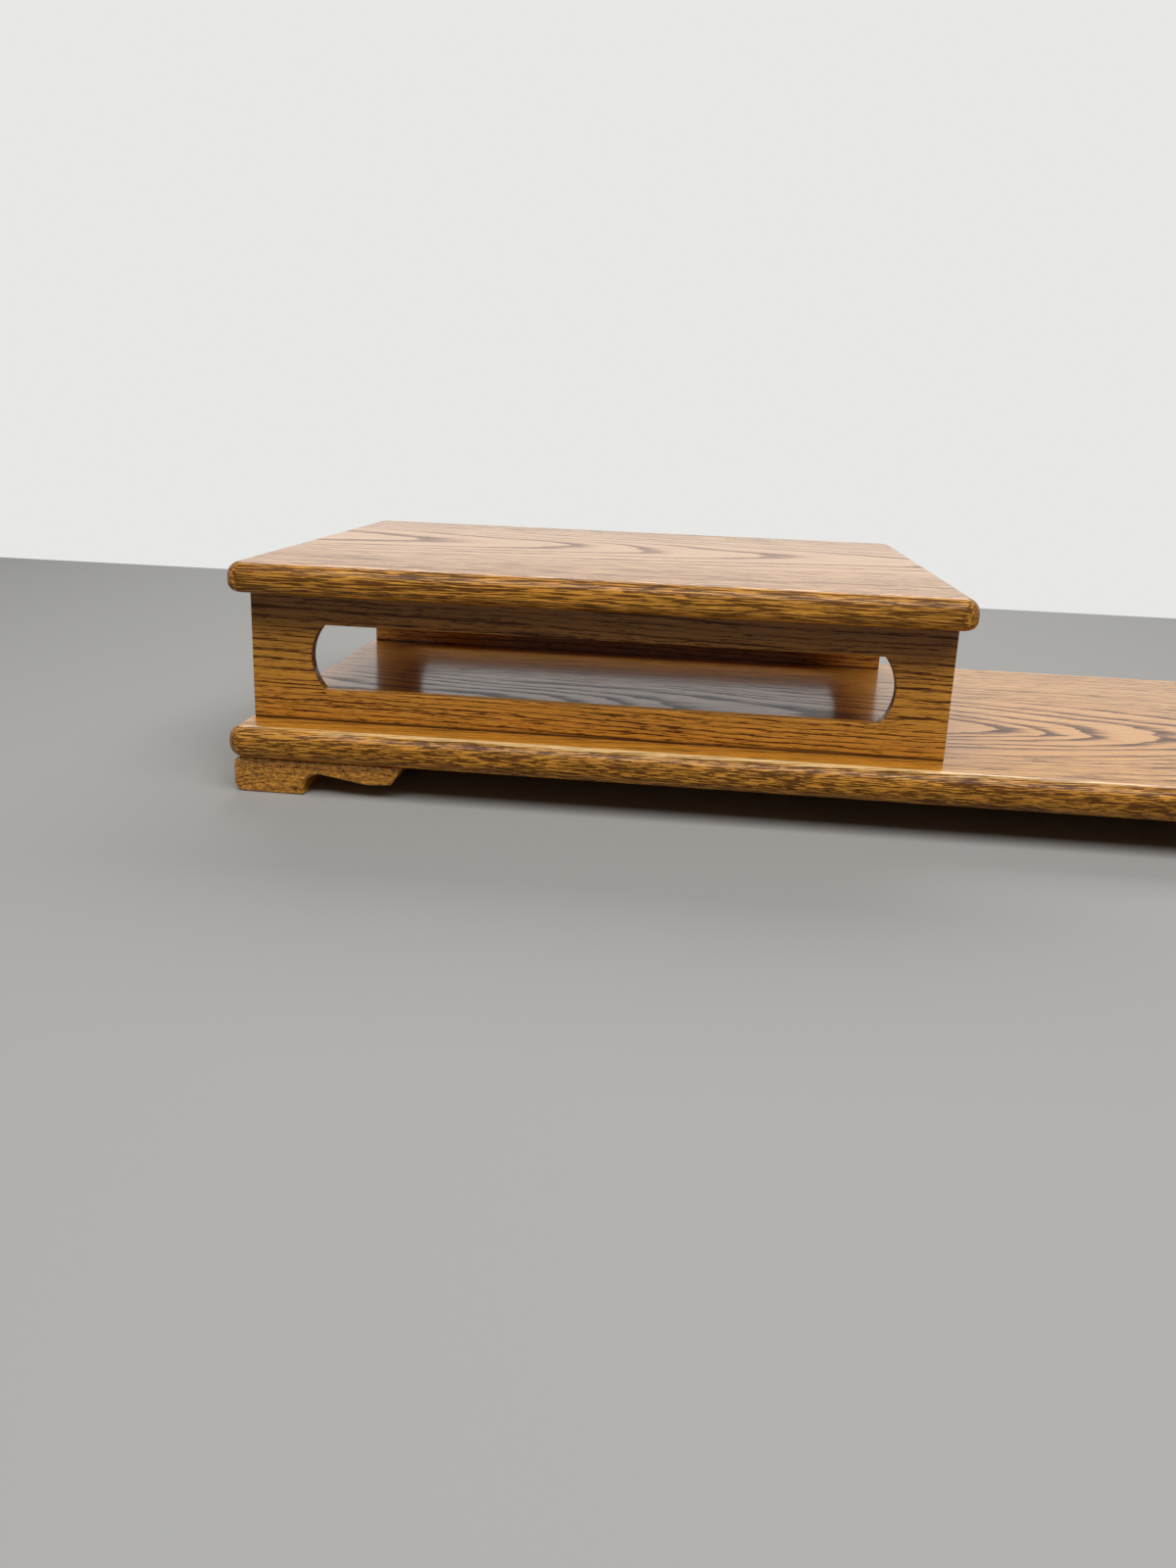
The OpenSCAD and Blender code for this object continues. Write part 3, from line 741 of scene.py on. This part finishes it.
def skinned_mesh(name, bodies):
    """Mesh of closed bodies, each from rings of points that follow one another from end to end."""
    made = bmesh.new()
    for body in bodies:
        rings = [[made.verts.new(point) for point in ring] for ring in body]
        for near, far in zip(rings, rings[1:]):
            for i in range(len(near)):
                j = (i + 1) % len(near)
                made.faces.new((near[i], near[j], far[j], far[i]))
        made.faces.new(rings[0])
        made.faces.new(rings[-1])
    bmesh.ops.remove_doubles(made, verts=made.verts, dist=SAME_POINT)
    bmesh.ops.dissolve_degenerate(made, edges=made.edges, dist=SAME_POINT)
    bmesh.ops.recalc_face_normals(made, faces=made.faces)
    mesh = bpy.data.meshes.new(name)
    made.to_mesh(mesh)
    made.free()
    return mesh


def screw_places(side):
    """Where the three screws of one runner stand: side is -1 for the left one and 1 for the right one."""
    radius = bpy.context.scene.stand_screws.head / 2
    first, last = SCREWS_LOW.y + radius, SCREWS_HIGH.y - radius
    return [(side * (SCREWS_HIGH.x - radius), y, SCREWS_LOW.z) for y in (first, (first + last) / 2, last)]


def screw_holes(side, steps=40):
    """Upright bodies that bore and countersink one runner for its screws."""
    screws = bpy.context.scene.stand_screws
    gap, below, above = 0.15 * MM, 8 * MM, 30 * MM
    head, shank = screws.head / 2 + gap, screws.shank / 2 + gap
    profile = ((head, -below), (head, SCREW_RIM), (shank, SCREW_RIM + head - shank), (shank, above))
    turns = [2 * math.pi * i / steps for i in range(steps)]
    return [[[(x + r * math.cos(a), y + r * math.sin(a), z + h) for a in turns] for r, h in profile]
            for x, y, z in screw_places(side)]


class STAND_OT_runners(bpy.types.Operator):
    """Makes the two scroll-cut runners, bored for their screws"""
    bl_idname = "stand.runners"
    bl_label = "Runners"

    def execute(self, context):
        settings = context.scene.stand_runners
        # Where the outline stands along the runner and how far it is drawn in, round both ends
        stations, steps = [], 6
        for i in range(steps + 1):
            turn = QUARTER * i / steps
            stations.append((RUNNER_LOW.y + settings.rounding * (1 - math.cos(turn)),
                             settings.rounding * (1 - math.sin(turn))))
        stations += [(RUNNER_LOW.y + RUNNER_HIGH.y - y, inset) for y, inset in stations[::-1]]
        for name, node, side, finish in (
                ("left_runner_scroll", "left_runner", -1, "varnished end grain oak left"),
                ("right_runner_scroll", "right_runner", 1, "varnished end grain oak right")):
            rings = [[(side * (-RUNNER_LOW.x - p.x), y, p.y) for p in scroll_outline(settings, inset)]
                     for y, inset in stations]
            runner = new_object(name, skinned_mesh(name, [rings]))
            runner.data.materials.append(oak_material(finish))
            drill = new_object("drill", skinned_mesh("drill", screw_holes(side)))
            bore = runner.modifiers.new("screw holes", "BOOLEAN")
            bore.operation, bore.solver, bore.object = "DIFFERENCE", "EXACT", drill
            finish_piece(runner, node)
            bpy.data.objects.remove(drill)
        return {"FINISHED"}


class STAND_OT_screws(bpy.types.Operator):
    """Makes the six countersunk screws that hold the runners to the base board"""
    bl_idname = "stand.screws"
    bl_label = "Screws"

    def execute(self, context):
        settings = context.scene.stand_screws
        left = screw_places(-1)
        screws = new_object("runner_screws_zinc")
        grow(screws, threaded_screws(), {
            "Shank": settings.shank, "Head": settings.head, "Length": SCREWS_HIGH.z - SCREWS_LOW.z,
            "Pitch": settings.pitch, "First": left[0], "Step": (0, left[1][1] - left[0][1], 0),
            "Across": (-2 * left[0][0], 0, 0), "Material": zinc_plated_steel()})
        finish_piece(screws, "runner_screws", smooth_angle=30)
        return {"FINISHED"}


class STAND_OT_stage(bpy.types.Operator):
    """Makes the floor, the pale surroundings, the soft lamps and the camera"""
    bl_idname = "stand.stage"
    bl_label = "Stage"

    def execute(self, context):
        settings = context.scene.stand_stage
        half_width, near, far = 2, -1.6, 0.74
        floor_mesh = bpy.data.meshes.new("floor")
        floor_mesh.from_pydata([(-half_width, near, 0), (half_width, near, 0), (half_width, far, 0),
                                (-half_width, far, 0)], [], [(0, 1, 2, 3)])
        floor = new_object("floor", floor_mesh)
        # Matt paint, rolled on: one even pale grey that takes a soft shadow and mirrors nothing
        matt = bpy.data.materials.new("matt painted floor")
        add = emptied(matt)
        shader = add("ShaderNodeBsdfPrincipled", {"Base Color": settings.floor, "Roughness": 0.9,
                                                  "Specular IOR Level": 0.1})
        add("ShaderNodeOutputMaterial", {"Surface": shader})
        floor_mesh.materials.append(matt)

        # The camera and the varnish see pale surroundings, which light the stand only a little
        world = bpy.data.worlds.new("pale surroundings")
        context.scene.world = world
        add = emptied(world)
        rays = add("ShaderNodeLightPath").outputs
        seen = rays["Is Camera Ray"]
        for ray in ("Is Glossy Ray", "Is Transmission Ray"):
            seen = add("ShaderNodeMath", {0: seen, 1: rays[ray]}, operation="MAXIMUM")
        even = add("ShaderNodeBackground", {"Color": (1, 1, 1, 1), "Strength": settings.ambient})
        behind = add("ShaderNodeBackground", {"Color": settings.backdrop, "Strength": 1.0})
        either = add("ShaderNodeMixShader", {0: seen, 1: even, 2: behind})
        add("ShaderNodeOutputWorld", {"Surface": either})

        for name, power, size, place, aim in (
                ("key", settings.key, (1.8, 1.1), (0.0, -0.8, 1.45), (-0.05, 0, 0.06)),
                ("rear", settings.rear, (2.4, 0.9), (-0.1, 1.3, 1.35), (0, 0, 0.08))):
            light = bpy.data.lights.new(name, "AREA")
            light.shape, light.energy = "RECTANGLE", power
            light.size, light.size_y = size
            lamp = new_object(name, light)
            lamp.location = place
            lamp.rotation_euler = (Vector(aim) - lamp.location).to_track_quat("-Z", "Y").to_euler()

        # Solved from the photo's own points: the lens's axis meets the photo above its middle row
        rows, axis_row = 1600, 716.206
        camera = bpy.data.cameras.new("camera")
        camera.sensor_width, camera.lens = 36, 24.806
        camera.shift_y = -(rows / 2 - axis_row) / rows
        eye = new_object("camera", camera)
        yaw, pitch, roll = (math.radians(a) for a in (5.722, 14.293, 2.154))
        ahead = Vector((-math.sin(yaw) * math.cos(pitch), math.cos(yaw) * math.cos(pitch), -math.sin(pitch)))
        right = Vector((math.cos(yaw), math.sin(yaw), 0))
        up = right.cross(ahead)
        across = math.cos(roll) * right + math.sin(roll) * up
        upward = -math.sin(roll) * right + math.cos(roll) * up
        turned = Matrix((across, upward, -ahead)).transposed().to_4x4()
        turned.translation = (-0.11703, -0.71181, 0.21225)
        eye.matrix_world = turned
        context.scene.camera = eye
        context.scene.view_settings.view_transform = "Standard"
        return {"FINISHED"}


STEPS = (STAND_OT_stage, STAND_OT_boards, STAND_OT_panels, STAND_OT_runners, STAND_OT_screws)


class STAND_PT_panel(bpy.types.Panel):
    bl_label = "Display Stand"
    bl_space_type = "VIEW_3D"
    bl_region_type = "UI"
    bl_category = "Stand"

    def draw(self, context):
        for step in STEPS:
            self.layout.operator(step.bl_idname)
        for name, group in SETTINGS.items():
            box = self.layout.box()
            box.label(text=group.__name__)
            for key in group.__annotations__:
                box.prop(getattr(context.scene, name), key)


CLASSES = (*SETTINGS.values(), *STEPS, STAND_PT_panel)


def register():
    for cls in CLASSES:
        bpy.utils.register_class(cls)
    for name, group in SETTINGS.items():
        setattr(bpy.types.Scene, name, PointerProperty(type=group))


def unregister():
    for name in SETTINGS:
        delattr(bpy.types.Scene, name)
    for cls in reversed(CLASSES):
        bpy.utils.unregister_class(cls)


def main():
    register()
    for step in STEPS:
        space, name = step.bl_idname.split(".")
        getattr(getattr(bpy.ops, space), name)()


if __name__ == "__main__":
    main()
